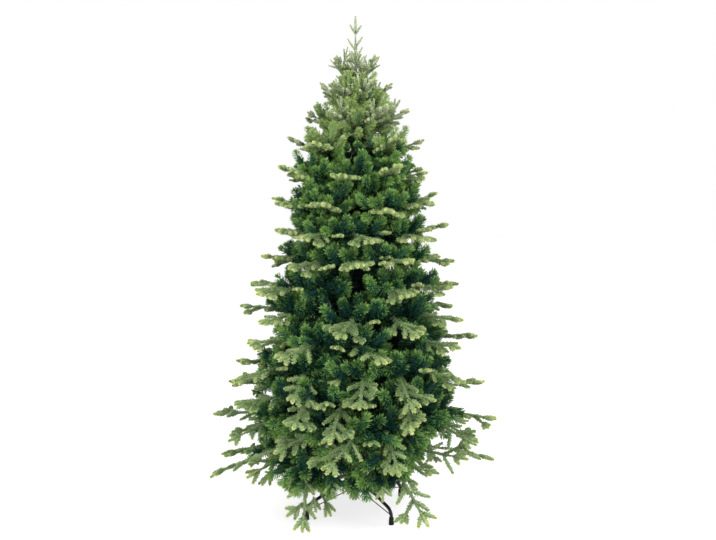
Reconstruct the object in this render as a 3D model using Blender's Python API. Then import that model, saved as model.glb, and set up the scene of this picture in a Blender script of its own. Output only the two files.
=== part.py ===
"""An artificial fir, 1.8 m tall, on its folding steel stand. Blender 4.5, metres, +Z up.

The pole stands in a hub with four bent legs. Fifteen rings of two to four boughs start on the
pole, and a leader stands on its end. A bough is one solid: a wire stem that forks into three
limbs, with a moulded spray at the end of each and toothed tinsel tips between.
The origin is on the floor, under the pole's axis. +X is the tree's right and -Y its front.
"""

import math
import random

import bmesh
import bpy
from mathutils import Vector

# ---------------------------------------------------------------- driving dimensions
TREE_HEIGHT = 1.80
CROWN_REACH = 0.527  # from the pole's axis to the furthest tips
GAP = 0.0003  # between pieces that touch
SEED = 11

# Pole: three tubes of falling radius, each given with the height that it reaches.
POLE_FOOT = 0.058
POLE_TUBES = ((0.0160, 0.78), (0.0140, 1.22), (0.0115, 1.60))
POLE_SIDES = 12  # flats face every 30 degrees from +X, and boughs start on them
POLE_TOP = POLE_TUBES[-1][1]

# Rings of boughs, counted from the lowest, with how many boughs each has and the pole's flat, from
# +X round, that its first one starts on.
RING_BOUGHS = (3, 4, 4, 4, 3, 3, 3, 3, 3, 3, 3, 2, 2, 2, 2)
RING_FLATS = (3, 0, 2, 1, 0, 2, 3, 1, 0, 3, 2, 0, 4, 2, 5)
RINGS = len(RING_BOUGHS)
LOWEST_RING = 0.275
RING_STEP = 0.088
CONE_FOOT = 0.63  # radius at the floor of the cone that the rings' tips lie on
CONE_TAPER = 0.275  # its loss of radius per metre of height
PEAK_TAPER = 0.60  # the same for the sharper cone at the crown's top
FLAT = math.radians(360 / POLE_SIDES)

# Stand
LEG_COUNT = 4
LEG_AZIMUTH = math.radians(-54)  # of the first leg; the others follow at equal steps
LEG_REACH = 0.215
LEG_RADIUS = 0.0060
LEG_PIN_HEIGHT = 0.112
LEG_PIN_REACH = 0.036
LEG_BEND_HEIGHT = 0.050
LEG_BEND_RADIUS = 0.034
CAP_RADIUS = 0.0095
CAP_HEIGHT = 0.026
CAP_FLOOR = 0.004
BRACE_RADIUS = 0.0018
BRACE_HEIGHT = 0.0735
BRACE_END_HEIGHT = 0.034
HUB_WALL = 0.0028
HUB_FLANGE = 0.0050
HUB_FOOT = 0.062
HUB_TOP = 0.150

# Foliage
STEM_RADIUS = 0.0032
LIMB_TIP_RADIUS = 0.0016
SPRAY_LENGTH = 0.170  # on the lowest ring; those on the highest are SPRAY_SHRINK shorter
SPRAY_SHRINK = 0.40
SPRAY_WIDTH = 0.105
SPRAY_THICK = 0.013
FINGER_LENGTH = 0.070
FINGER_WIDTH = 0.024
TINSEL_LENGTH = 0.140
TINSEL_WIDTH = 0.080
TINSEL_THICK = 0.028
TINSEL_SHRINK = 0.25  # how much nearer the pole the tinsel starts on the highest ring
FAN = 0.62  # side limbs' turn, as a share of half their bough's sector
SPACE_GAP = 0.0025  # kept clear inside the borders of a bough's own space
SPACE_SHARE = 0.66  # of the room between two rings that belongs to the lower one
FLOOR_ROOM = 3.6  # the same room below the lowest ring, in ring steps
SAG = 0.014  # most that a limb's tip strays up or down from its ring's surface
LOW_STEM = 0.82  # how far the lowest ring's stems reach, as a share of the other rings'

# Outlines of flat blades, as (share of the length, share of the width), from the root round.
FINGER = ((0, 0), (0.45, 0.5), (1, 0), (0.45, -0.5))
SPRAY = (
    (0, 0), (0.42, 0.5), (0.46, 0.16), (0.80, 0.42), (0.76, 0.12),
    (1, 0), (0.76, -0.12), (0.80, -0.42), (0.46, -0.16), (0.42, -0.5),
)
TINSEL = (
    (0, 0), (0.36, 0.5), (0.52, 0.26), (0.84, 0.42),
    (1, 0), (0.84, -0.42), (0.52, -0.26), (0.36, -0.5),
)
BLADE_RIDGE = 0.44  # share of the length at which a blade is thickest

MATERIALS = {
    "foliage": ((0.045, 0.130, 0.030), 0.60, 0.0),
    "leader": ((0.210, 0.270, 0.090), 0.50, 0.0),
    "pole": ((0.030, 0.045, 0.028), 0.45, 0.3),
    "stand": ((0.008, 0.008, 0.009), 0.35, 0.4),
    "rubber": ((0.012, 0.012, 0.012), 0.80, 0.0),
}


# ---------------------------------------------------------------- meshes and objects
def clear_scene():
    for obj in list(bpy.data.objects):
        bpy.data.objects.remove(obj, do_unlink=True)


def material(name):
    found = bpy.data.materials.get(name)
    if found:
        return found
    colour, roughness, metallic = MATERIALS[name]
    made = bpy.data.materials.new(name)
    made.use_nodes = True
    shader = made.node_tree.nodes["Principled BSDF"]
    shader.inputs["Base Color"].default_value = (*colour, 1.0)
    shader.inputs["Roughness"].default_value = roughness
    shader.inputs["Metallic"].default_value = metallic
    return made


def add_object(name, points, faces, material_name, collection=None):
    """An object from points and faces that already point outwards."""
    mesh = bpy.data.meshes.new(name)
    mesh.from_pydata([tuple(p) for p in points], [], faces)
    mesh.materials.append(material(material_name))
    obj = bpy.data.objects.new(name, mesh)
    (collection or bpy.context.scene.collection).objects.link(obj)
    return obj


def shade_smooth(obj, sharp_degrees=40):
    obj.data.shade_smooth()
    obj.data.set_sharp_from_angle(angle=math.radians(sharp_degrees))


def turned(profile, sides, first_angle=0.0):
    """A closed ring of (radius, height) points turned about Z: up the outside, down any inside."""
    points, faces = [], []
    count = len(profile)
    for i in range(sides):
        angle = first_angle + 2 * math.pi * i / sides
        points += [Vector((r * math.cos(angle), r * math.sin(angle), z)) for r, z in profile]
    for i in range(sides):
        here, there = i * count, (i + 1) % sides * count
        for j in range(count):
            k = (j + 1) % count
            faces.append((here + j, there + j, there + k, here + k))
    return points, faces


def turned_solid(profile, sides, first_angle=0.0):
    """As turned(), for an open profile from bottom to top, closed by a flat cap at each end."""
    points, faces = turned(profile, sides, first_angle)
    count = len(profile)
    faces = [f for f in faces if f[3] % count != 0]
    faces.append([i * count for i in reversed(range(sides))])
    faces.append([i * count + count - 1 for i in range(sides)])
    return points, faces


def tube(path, radii, sides, roll=0.0, facing=None):
    """A tube along a path with its own radius at each point, closed by a flat cap at each end.

    facing, where given, is the way that its first cap is square to.
    """
    path = [Vector(p) for p in path]
    points, faces = [], []
    tangents = [
        (path[min(i + 1, len(path) - 1)] - path[max(i - 1, 0)]).normalized() for i in range(len(path))
    ]
    if facing:
        tangents[0] = facing
    side = tangents[0].orthogonal().normalized()
    for point, tangent, radius in zip(path, tangents, radii):
        side = (side - side.dot(tangent) * tangent).normalized()
        other = tangent.cross(side)
        for i in range(sides):
            angle = roll + 2 * math.pi * i / sides
            points.append(point + radius * (math.cos(angle) * side + math.sin(angle) * other))
    for i in range(len(path) - 1):
        for j in range(sides):
            k = (j + 1) % sides
            here, there = i * sides, (i + 1) * sides
            faces.append((here + j, here + k, there + k, there + j))
    faces.append(list(reversed(range(sides))))
    faces.append([len(points) - sides + j for j in range(sides)])
    return points, faces


def blade(root, along, across, length, width, thick, outline):
    """A flat closed blade: its outline at full width, and a ridge point on either side of it."""
    along = along.normalized()
    across = (across - across.dot(along) * along).normalized()
    up = along.cross(across)
    points = [root + along * (a * length) + across * (b * width) for a, b in outline]
    ridge = root + along * (BLADE_RIDGE * length)
    points += [ridge + up * (thick / 2), ridge - up * (thick / 2)]
    count = len(outline)
    faces = []
    for i in range(count):
        j = (i + 1) % count
        faces += [(j, i, count), (i, j, count + 1)]
    if up.dot((points[1] - points[0]).cross(points[2] - points[0])) > 0:
        faces = [f[::-1] for f in faces]
    return points, faces


def joined(name, pieces, material_name):
    """One object that is the union of several closed (points, faces) pieces; the first is the stem."""
    parts = bpy.data.collections.new(name + "_pieces")
    bpy.context.scene.collection.children.link(parts)
    for i, (points, faces) in enumerate(pieces[1:]):
        add_object(f"{name}_piece_{i}", points, faces, material_name, parts)
    obj = add_object(name, *pieces[0], material_name)
    union = obj.modifiers.new("union", "BOOLEAN")
    union.operation = "UNION"
    union.operand_type = "COLLECTION"
    union.collection = parts
    union.solver = "MANIFOLD"
    bpy.context.view_layer.update()
    graph = bpy.context.evaluated_depsgraph_get()
    result = bpy.data.meshes.new_from_object(obj.evaluated_get(graph))
    obj.modifiers.clear()
    obj.data = result
    for piece in list(parts.objects):
        bpy.data.objects.remove(piece, do_unlink=True)
    bpy.data.collections.remove(parts)
    return obj


# ---------------------------------------------------------------- rings of boughs
def ring_share(ring):
    """0 at the lowest ring and 1 at the highest."""
    return ring / (RINGS - 1)


def ring_height(ring):
    return LOWEST_RING + RING_STEP * ring


def ring_slopes(ring):
    """Rise per metre at the pole and at the tip. The lowest boughs droop, and high ones point up."""
    share = ring_share(ring)
    start = 2 + 14 * share + 50 * share**4.5
    droop = 8 + 28 * math.exp(-1.7 * ring)
    return math.tan(math.radians(start)), math.tan(math.radians(start - droop))


def outline_radius(height):
    """Radius of the crown's outline: a cylinder, then a cone, then a sharper one up to the top."""
    return min(CROWN_REACH, CONE_FOOT - CONE_TAPER * height, PEAK_TAPER * (TREE_HEIGHT - height))


def ring_reach(ring):
    """Radius at which this ring's mean slope meets the crown's outline."""
    slope = sum(ring_slopes(ring)) / 2
    low, high = 0.0, CROWN_REACH
    for _ in range(30):
        middle = (low + high) / 2
        if middle < outline_radius(ring_height(ring) + middle * slope):
            low = middle
        else:
            high = middle
    return low


def ring_surface(ring, radius):
    """Height of the dished surface that a ring's limbs lie on, at this radius."""
    if ring < 0:
        return ring_surface(0, radius) + ring * FLOOR_ROOM * RING_STEP
    if ring >= RINGS:
        return ring_surface(RINGS - 1, radius) + (ring - RINGS + 1) * RING_STEP
    start, end = ring_slopes(ring)
    bend = (end - start) / (2 * ring_reach(ring))
    return ring_height(ring) + start * radius + bend * radius**2


def bough_azimuth(ring, number):
    return FLAT * RING_FLATS[ring] + 2 * math.pi * number / RING_BOUGHS[ring]


class Space:
    """The room that one bough keeps to: a sector between the borders with the rings below and above."""

    def __init__(self, ring, azimuth, half_width):
        self.ring = ring
        self.azimuth = azimuth
        self.half_width = half_width

    def border(self, ring, radius):
        below, above = ring_surface(ring, radius), ring_surface(ring + 1, radius)
        return below + SPACE_SHARE * (above - below)

    def holds(self, point):
        radius = math.hypot(point.x, point.y)
        gap = SPACE_GAP * math.hypot(1, ring_slopes(min(self.ring, RINGS - 1))[0])
        top = TREE_HEIGHT if self.ring == RINGS else self.border(self.ring, radius) - gap
        if not self.border(self.ring - 1, radius) + gap < point.z < top + 1e-6:
            return False
        if self.half_width >= math.pi:
            return True
        if radius < pole_radius(point.z) + SPACE_GAP:
            return False
        turn = math.atan2(point.y, point.x) - self.azimuth
        turn = math.atan2(math.sin(turn), math.cos(turn))
        return radius * math.sin(min(self.half_width - abs(turn), math.pi / 2)) > SPACE_GAP

    def holds_all(self, points):
        middles = [(a + b) / 2 for a, b in zip(points, points[1:])]
        return all(self.holds(p) for p in [*points, *middles])


# ---------------------------------------------------------------- pole
def pole_radius(height):
    for radius, top in POLE_TUBES:
        if height <= top:
            return radius
    return POLE_TUBES[-1][0]


def make_pole():
    """Three tubes in line, each thinner than the one below, flat at both ends."""
    profile = []
    height = POLE_FOOT
    for radius, top in POLE_TUBES:
        profile += [(radius, height), (radius, top)]
        height = top
    return add_object("pole", *turned_solid(profile, POLE_SIDES, FLAT / 2), "pole")


def pole_flat(height):
    """Distance from the axis to the pole's flats at this height."""
    return pole_radius(height) * math.cos(FLAT / 2)


# ---------------------------------------------------------------- boughs
def on_surface(ring, radius, azimuth):
    height = ring_surface(ring, radius)
    return Vector((radius * math.cos(azimuth), radius * math.sin(azimuth), height))


def limb_path(ring, first, radius, azimuth, count, sag):
    """Points of a limb that starts at first, straight in plan, sag off its ring's surface at the tip."""
    last = on_surface(ring, radius, azimuth)
    points = [first]
    for i in range(1, count):
        share = i / (count - 1)
        flat = first.lerp(last, share)
        height = ring_surface(ring, math.hypot(flat.x, flat.y)) + sag * share**2
        points.append(Vector((flat.x, flat.y, height)))
    return points


def tapered(count, first, last):
    return [first + (last - first) * i / (count - 1) for i in range(count)]


def place_on(path, share):
    """(point, direction) at this share of a path's points."""
    where = min(share * (len(path) - 1), len(path) - 1 - 1e-6)
    i = int(where)
    return path[i].lerp(path[i + 1], where - i), (path[i + 1] - path[i]).normalized()


def leaning(direction, side, lift, spread):
    """direction turned towards side by spread, and that side lifted out of the level by lift."""
    level = Vector((direction.y, -direction.x, 0)).normalized()
    up = level.cross(direction)
    outwards = math.cos(lift) * side * level + math.sin(lift) * up
    return math.cos(spread) * direction + math.sin(spread) * outwards


def add_blade(pieces, space, root, along, across, size, outline):
    """Adds a blade at full length or, where it would leave the bough's space, a shorter one or none."""
    for share in (1.0, 0.85, 0.7, 0.55):
        length, width, thick = size[0] * share, size[1] * share, size[2]
        made = blade(root, along, across, length, width, thick, outline)
        if space.holds_all(made[0]):
            pieces.append(made)
            return


def spray_size(ring):
    """(length, width, thickness) of the moulded sprays on a ring."""
    shrink = 1 - SPRAY_SHRINK * ring_share(ring)
    return SPRAY_LENGTH * shrink, SPRAY_WIDTH * shrink, SPRAY_THICK


def add_limb(pieces, space, path, first_radius, roll, facing=None):
    """A limb's tapering tube and the moulded spray that carries it on to the end of its path."""
    length = spray_size(space.ring)[0]
    direction = (path[-1] - path[-2]).normalized()
    wire = path[:-1] + [path[-1] - direction * length * 0.6]
    radii = tapered(len(wire), first_radius, LIMB_TIP_RADIUS)
    pieces.append(tube(wire, radii, 3, roll, facing))
    level = Vector((direction.y, -direction.x, 0))
    add_blade(pieces, space, path[-1] - direction * length, direction, level, spray_size(space.ring), SPRAY)


def add_tinsel(pieces, space, path, places, lifts, rng):
    """Toothed tinsel tips along a limb, alternately left and right, leaning out and up."""
    for i, share in enumerate(places):
        root, direction = place_on(path, share)
        side = -1 if i % 2 else 1
        lift = math.radians(rng.uniform(*lifts))
        spread = math.radians(rng.uniform(38, 58))
        roll = math.radians(rng.uniform(35, 80))
        along = leaning(direction, side, lift, spread)
        level = along.cross(Vector((0, 0, 1))).normalized()
        across = math.cos(roll) * level + math.sin(roll) * level.cross(along)
        size = (TINSEL_LENGTH * rng.uniform(0.85, 1.0), TINSEL_WIDTH, TINSEL_THICK)
        add_blade(pieces, space, root, along, across, size, TINSEL)


def bough_limbs(ring, number, rng):
    """Paths of a bough's limbs: the stem from the pole, and one that forks off it on each side."""
    azimuth = bough_azimuth(ring, number)
    reach = ring_reach(ring)
    outwards = Vector((math.cos(azimuth), math.sin(azimuth), 0))
    root = outwards * (pole_flat(ring_height(ring)) + GAP) + Vector((0, 0, ring_height(ring)))
    stem_reach = reach * rng.uniform(0.98, 1.0) * (LOW_STEM if ring == 0 else 1)
    stem = limb_path(ring, root, stem_reach, azimuth, 3, rng.uniform(-SAG, SAG))
    limbs = [stem]
    for side, fork in ((-1, 0.17), (1, 0.27)):
        turn = side * FAN * math.pi / RING_BOUGHS[ring] * rng.uniform(0.92, 1.08)
        side_reach = reach * (rng.uniform(0.90, 0.98) + (0.03 if ring == 0 else 0))
        start = place_on(stem, fork)[0]
        limbs.append(limb_path(ring, start, side_reach, azimuth + turn, 3, rng.uniform(-SAG, SAG)))
    return limbs


def make_bough(ring, number):
    """One bough: its three limbs with their sprays, and tinsel tips along them."""
    rng = random.Random(SEED * 1000 + ring * 10 + number)
    azimuth = bough_azimuth(ring, number)
    space = Space(ring, azimuth, math.pi / RING_BOUGHS[ring])
    outwards = Vector((math.cos(azimuth), math.sin(azimuth), 0))
    limbs = bough_limbs(ring, number, rng)
    pieces = []
    add_limb(pieces, space, limbs[0], STEM_RADIUS, rng.uniform(0, 2), outwards)
    for limb in limbs[1:]:
        add_limb(pieces, space, limb, STEM_RADIUS * 0.8, rng.uniform(0, 2))
    shrink = 1 - TINSEL_SHRINK * ring_share(ring)
    for limb, places in zip(limbs, ((0.40, 0.56), (0.24, 0.46), (0.24, 0.46))):
        places = [place * shrink for place in (places if ring < 10 else places[1:])]
        add_tinsel(pieces, space, limb, places, (2, 32), rng)
        if ring == 0:
            add_tinsel(pieces, space, limb, (0.27,), (-70, -45), rng)
    return joined(f"bough_{ring + 1:02d}_{'abcd'[number]}", pieces, "foliage")


def make_leader():
    """The top shoot: an upright stem on the pole's end, with a pronged tip and pairs of fingers."""
    space = Space(RINGS, 0.0, math.pi)
    up = Vector((0, 0, 1))
    heights = (POLE_TOP + GAP, POLE_TOP + 0.08, TREE_HEIGHT - 0.03)
    stem = [up * height for height in heights]
    pieces = [tube(stem, (0.0050, 0.0036, LIMB_TIP_RADIUS), 4)]
    size = (SPRAY_LENGTH * 0.55, SPRAY_WIDTH * 0.60, SPRAY_THICK)
    add_blade(pieces, space, up * (TREE_HEIGHT - size[0]), up, Vector((1, 0, 0)), size, SPRAY)
    for i, height in enumerate((0.035, 0.065, 0.095)):
        for side in (0, math.pi):
            turn = side + i * math.radians(70)
            out = Vector((math.cos(turn), math.sin(turn), 0))
            along = up * math.cos(0.6) + out * math.sin(0.6)
            size = (FINGER_LENGTH, FINGER_WIDTH, SPRAY_THICK * 0.8)
            add_blade(pieces, space, up * (POLE_TOP + height), along, out.cross(up), size, FINGER)
    return joined("leader", pieces, "leader")


# ---------------------------------------------------------------- stand
def leg_direction(number):
    angle = LEG_AZIMUTH + 2 * math.pi * number / LEG_COUNT
    return Vector((math.cos(angle), math.sin(angle), 0))


def hub_radius():
    """Inner radius of the hub's sleeve, whose flats face the pole's."""
    return POLE_TUBES[0][0] + GAP / math.cos(math.pi / POLE_SIDES)


def bend_centre():
    """((distance out, height) of the centre of a leg's bend, angle that it turns through)."""
    turn = math.pi / 2 - math.atan2(LEG_PIN_HEIGHT - LEG_BEND_HEIGHT, LEG_REACH - LEG_PIN_REACH)
    height = LEG_BEND_HEIGHT - LEG_BEND_RADIUS * math.tan(turn / 2)
    return (LEG_REACH - LEG_BEND_RADIUS, height), turn


def leg_path():
    """(distance out, height) of a leg's centre line: pin, straight fall, round bend, upright foot."""
    (out, height), turn = bend_centre()
    points = [(LEG_PIN_REACH, LEG_PIN_HEIGHT)]
    steps = 5
    for i in range(steps):
        angle = turn * (1 - i / (steps - 1))
        points.append(
            (out + LEG_BEND_RADIUS * math.cos(angle), height + LEG_BEND_RADIUS * math.sin(angle))
        )
    points.append((LEG_REACH, CAP_FLOOR + GAP))
    return points


def make_leg(number):
    """A bent steel tube: from its pin in the hub down and out, then straight down into its cap."""
    out = leg_direction(number)
    path = [out * distance + Vector((0, 0, height)) for distance, height in leg_path()]
    leg = add_object(f"leg_{number + 1}", *tube(path, [LEG_RADIUS] * len(path), 8, math.pi / 8), "stand")
    shade_smooth(leg)


def make_cap(number):
    """A rubber cup on a leg's end, flat underneath."""
    sides = 8
    hole = (LEG_RADIUS + GAP) / math.cos(math.pi / sides)
    rim = CAP_RADIUS * 0.88
    profile = [(CAP_RADIUS, 0.0), (rim, CAP_HEIGHT), (hole, CAP_HEIGHT), (hole, CAP_FLOOR)]
    points, faces = turned_solid(profile, sides)
    centre = leg_direction(number) * LEG_REACH
    cap = add_object(f"foot_cap_{number + 1}", [p + centre for p in points], faces, "rubber")
    shade_smooth(cap)


def make_brace(number):
    """A straight wire from the hub's lower flange to the inside of a leg's bend, clear of both."""
    out = leg_direction(number)
    off_flat = LEG_AZIMUTH % FLAT
    off_flat = min(off_flat, FLAT - off_flat)
    flange = hub_radius() + HUB_WALL + HUB_FLANGE
    hub_edge = flange * math.cos(FLAT / 2) / math.cos(off_flat)
    (bend_out, bend_height), _ = bend_centre()
    inside = (LEG_BEND_RADIUS - LEG_RADIUS) * math.cos(math.pi / 20)
    rise = BRACE_END_HEIGHT + BRACE_RADIUS - bend_height
    leg_edge = bend_out + math.sqrt(inside**2 - rise**2)
    start = out * (hub_edge + GAP) + Vector((0, 0, BRACE_HEIGHT))
    end = out * (leg_edge - GAP) + Vector((0, 0, BRACE_END_HEIGHT))
    lean = (end - start).normalized()
    start += out * BRACE_RADIUS * abs(lean.z)
    end -= out * BRACE_RADIUS * abs(lean.z)
    add_object(f"brace_{number + 1}", *tube((start, end), (BRACE_RADIUS,) * 2, 6), "stand")


def box(centre, out, size):
    """A block with its faces along out, across it and up."""
    across = Vector((-out.y, out.x, 0))
    up = Vector((0, 0, 1))
    points = []
    for k in (-0.5, 0.5):
        for i, j in ((-0.5, -0.5), (0.5, -0.5), (0.5, 0.5), (-0.5, 0.5)):
            points.append(centre + out * (i * size[0]) + across * (j * size[1]) + up * (k * size[2]))
    faces = [(3, 2, 1, 0), (4, 5, 6, 7)]
    faces += [(i, (i + 1) % 4, (i + 1) % 4 + 4, i + 4) for i in range(4)]
    return points, faces


def make_hub():
    """The stand's centre: a sleeve round the pole, two flanges, ears for each leg and a thumb screw."""
    inner = hub_radius()
    outer = inner + HUB_WALL
    flange = outer + HUB_FLANGE
    low, high = BRACE_HEIGHT, LEG_PIN_HEIGHT
    profile = [
        (outer, HUB_FOOT), (outer, low - 0.006), (flange, low - 0.006), (flange, low + 0.006),
        (outer, low + 0.006), (outer, high - 0.010), (flange, high - 0.010), (flange, high + 0.010),
        (outer, high + 0.010), (outer, HUB_TOP), (inner, HUB_TOP), (inner, HUB_FOOT),
    ]
    pieces = [turned(profile, POLE_SIDES, FLAT / 2)]
    for number in range(LEG_COUNT):
        out = leg_direction(number)
        across = Vector((-out.y, out.x, 0))
        for side in (-1, 1):
            ear = (0.026, 0.0024, 0.017)
            offset = across * side * (LEG_RADIUS + GAP + ear[1] / 2)
            centre = out * (flange + 0.008) + offset + Vector((0, 0, LEG_PIN_HEIGHT))
            pieces.append(box(centre, out, ear))
    screw = Vector((math.cos(FLAT), math.sin(FLAT), 0))
    height = Vector((0, 0, HUB_TOP - 0.014))
    shank = (screw * (inner + 0.001) + height, screw * (outer + 0.020) + height)
    pieces.append(tube(shank, (0.0028, 0.0028), 6))
    pieces.append(box(screw * (outer + 0.024) + height, screw, (0.010, 0.0042, 0.020)))
    return joined("hub", pieces, "stand")


# ---------------------------------------------------------------- the tree
def main():
    clear_scene()
    make_pole()
    make_hub()
    for number in range(LEG_COUNT):
        make_leg(number)
        make_cap(number)
        make_brace(number)
    for ring in range(RINGS):
        for number in range(RING_BOUGHS[ring]):
            make_bough(ring, number)
    make_leader()


main()
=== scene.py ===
"""An artificial fir on its folding stand, dressed for the studio: steel pole and stand, wire boughs,
tinsel tips and moulded sprays. Metres, +Z up, +X the tree's right, -Y its front."""

import math
import random

import bmesh
import bpy
import numpy as np
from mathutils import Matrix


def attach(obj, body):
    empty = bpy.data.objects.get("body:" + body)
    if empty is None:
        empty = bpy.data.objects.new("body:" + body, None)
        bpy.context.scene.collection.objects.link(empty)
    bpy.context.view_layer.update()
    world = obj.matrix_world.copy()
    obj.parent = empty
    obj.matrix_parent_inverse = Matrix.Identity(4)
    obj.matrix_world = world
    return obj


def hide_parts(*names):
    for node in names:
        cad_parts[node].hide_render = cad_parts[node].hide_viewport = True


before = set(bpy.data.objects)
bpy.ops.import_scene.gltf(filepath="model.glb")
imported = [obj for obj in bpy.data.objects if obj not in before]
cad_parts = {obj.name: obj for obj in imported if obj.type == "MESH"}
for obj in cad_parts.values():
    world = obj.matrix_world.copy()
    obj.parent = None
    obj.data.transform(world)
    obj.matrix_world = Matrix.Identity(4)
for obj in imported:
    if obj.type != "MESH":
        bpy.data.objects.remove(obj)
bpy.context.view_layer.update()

# ---- camera
# Stands three metres in front of the tree at chest height and looks slightly down, with a normal
# lens, so that the whole tree stands upright in the frame.
CAMERA_PLACE = (0.009, -3.0, 1.083)
CAMERA_DOWN = math.radians(3.75)
scene = bpy.context.scene
camera_data = bpy.data.cameras.new("studio_camera")
camera_data.sensor_width = 36.0
camera_data.lens = 41.3
camera = bpy.data.objects.new("studio_camera", camera_data)
camera.location = CAMERA_PLACE
camera.rotation_euler = (math.pi / 2 - CAMERA_DOWN, 0.0, 0.0)
scene.collection.objects.link(camera)
scene.camera = camera

# ---- pole
# Three lengths of thin steel tube pushed into one another, each narrower than the one below, with
# a rolled groove under each joint and a rounded mouth. Sprayed dark olive, dulled by handling.
TREE_HEIGHT = 1.80
GAP = 0.0003
POLE_FOOT = 0.058
POLE_TUBES = ((0.0160, 0.78), (0.0140, 1.22), (0.0115, 1.60))
POLE_TOP = POLE_TUBES[-1][1]
POLE_EDGE = 0.001
GROOVE_DROP = 0.018
GROOVE_WIDTH = 0.004
GROOVE_DEPTH = 0.0004
FLAT = math.radians(30)
SHARP_EDGE = math.radians(35)


def pole_radius(height):
    """Radius of the tube that reaches this height."""
    for radius, top in POLE_TUBES:
        if height <= top:
            return radius
    return POLE_TUBES[-1][0]


def turned(profile, sides):
    """Surface of revolution: each (radius, height) of the profile, carried round the z axis in equal
    steps. A profile whose ends lie on the axis closes there. Quads, outwards for a rising outside."""
    profile = np.asarray(profile, float)
    turn = np.arange(sides) * 2 * np.pi / sides
    radius, height = profile[:, 0], profile[:, 1]
    x = np.cos(turn)[:, None] * radius
    y = np.sin(turn)[:, None] * radius
    points = np.stack((x, y, np.broadcast_to(height, x.shape)), axis=2).reshape(-1, 3)
    step = len(profile)
    side = np.arange(sides)[:, None] * step
    over = (np.arange(sides)[:, None] + 1) % sides * step
    up = np.arange(step - 1)
    quads = np.stack((side + up, over + up, over + up + 1, side + up + 1), axis=2).reshape(-1, 4)
    return points, [quads]


def placed(name, mesh, finish, replaced=()):
    """The object of a finished mesh, at the origin and in the tree's only body."""
    mesh.materials.append(finish)
    made = bpy.data.objects.new(name, mesh)
    scene.collection.objects.link(made)
    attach(made, "root")
    if replaced:
        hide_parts(*replaced)
    return made


def piece(name, parts, finish, replaced=()):
    """One object from (points, [face arrays]) parts, merged, and smooth apart from sharp edges."""
    points, faces, first = [], [], 0
    for part_points, part_faces in parts:
        points.append(np.asarray(part_points, float))
        for some in part_faces:
            faces += (np.asarray(some) + first).tolist()
        first += len(part_points)
    mesh = bpy.data.meshes.new(name)
    mesh.from_pydata(np.concatenate(points).tolist(), [], faces)
    work = bmesh.new()
    work.from_mesh(mesh)
    bmesh.ops.remove_doubles(work, verts=work.verts, dist=1e-6)
    bmesh.ops.dissolve_degenerate(work, edges=work.edges, dist=1e-6)
    work.to_mesh(mesh)
    work.free()
    mesh.shade_smooth()
    mesh.set_sharp_from_angle(angle=SHARP_EDGE)
    return placed(name, mesh, finish, replaced)


def put_in(node, **values):
    """Sets a node's inputs; an underscore stands for a space in a socket's name."""
    for socket, value in values.items():
        node.inputs[socket.replace("_", " ")].default_value = value


def noise_group(name, detail, inputs, outputs):
    """Node group with these sockets and noise on the object's own coordinates, at the Scale given to
    the group. Returns the group, its two ends and the noise."""
    group = bpy.data.node_groups.new(name, "ShaderNodeTree")
    for in_out, sockets in (("INPUT", inputs), ("OUTPUT", outputs)):
        for socket, kind in sockets:
            group.interface.new_socket(socket, in_out=in_out, socket_type="NodeSocket" + kind)
    nodes, links = group.nodes, group.links
    given, put = nodes.new("NodeGroupInput"), nodes.new("NodeGroupOutput")
    place, noise = nodes.new("ShaderNodeTexCoord"), nodes.new("ShaderNodeTexNoise")
    put_in(noise, Detail=detail)
    links.new(place.outputs["Object"], noise.inputs["Vector"])
    links.new(given.outputs["Scale"], noise.inputs["Scale"])
    return group, given, put, noise


def mottled_group():
    """Node group: soft noise runs a colour from Dark to Light, and Mask is how light it is."""
    inputs = (("Dark", "Color"), ("Light", "Color"), ("Scale", "Float"))
    outputs = (("Colour", "Color"), ("Mask", "Float"))
    group, given, put, clouds = noise_group("mottled_colour", 3.0, inputs, outputs)
    nodes, links = group.nodes, group.links
    spread, mix = nodes.new("ShaderNodeMapRange"), nodes.new("ShaderNodeMix")
    put_in(spread, From_Min=0.30, From_Max=0.70)
    links.new(clouds.outputs["Fac"], spread.inputs["Value"])
    mix.data_type = "RGBA"
    links.new(spread.outputs["Result"], mix.inputs["Factor"])
    links.new(given.outputs["Dark"], mix.inputs["A"])
    links.new(given.outputs["Light"], mix.inputs["B"])
    links.new(mix.outputs["Result"], put.inputs["Colour"])
    links.new(spread.outputs["Result"], put.inputs["Mask"])
    return group


def grain_group():
    """Node group: fine noise of a Depth as a Normal, for coats, tape and rubber."""
    inputs = (("Scale", "Float"), ("Depth", "Float"))
    group, given, put, noise = noise_group("fine_grain", 2.0, inputs, [("Normal", "Vector")])
    bump = group.nodes.new("ShaderNodeBump")
    group.links.new(given.outputs["Depth"], bump.inputs["Distance"])
    group.links.new(noise.outputs["Fac"], bump.inputs["Height"])
    group.links.new(bump.outputs["Normal"], put.inputs["Normal"])
    return group


mottled_colour = mottled_group()
fine_grain = grain_group()


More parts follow.
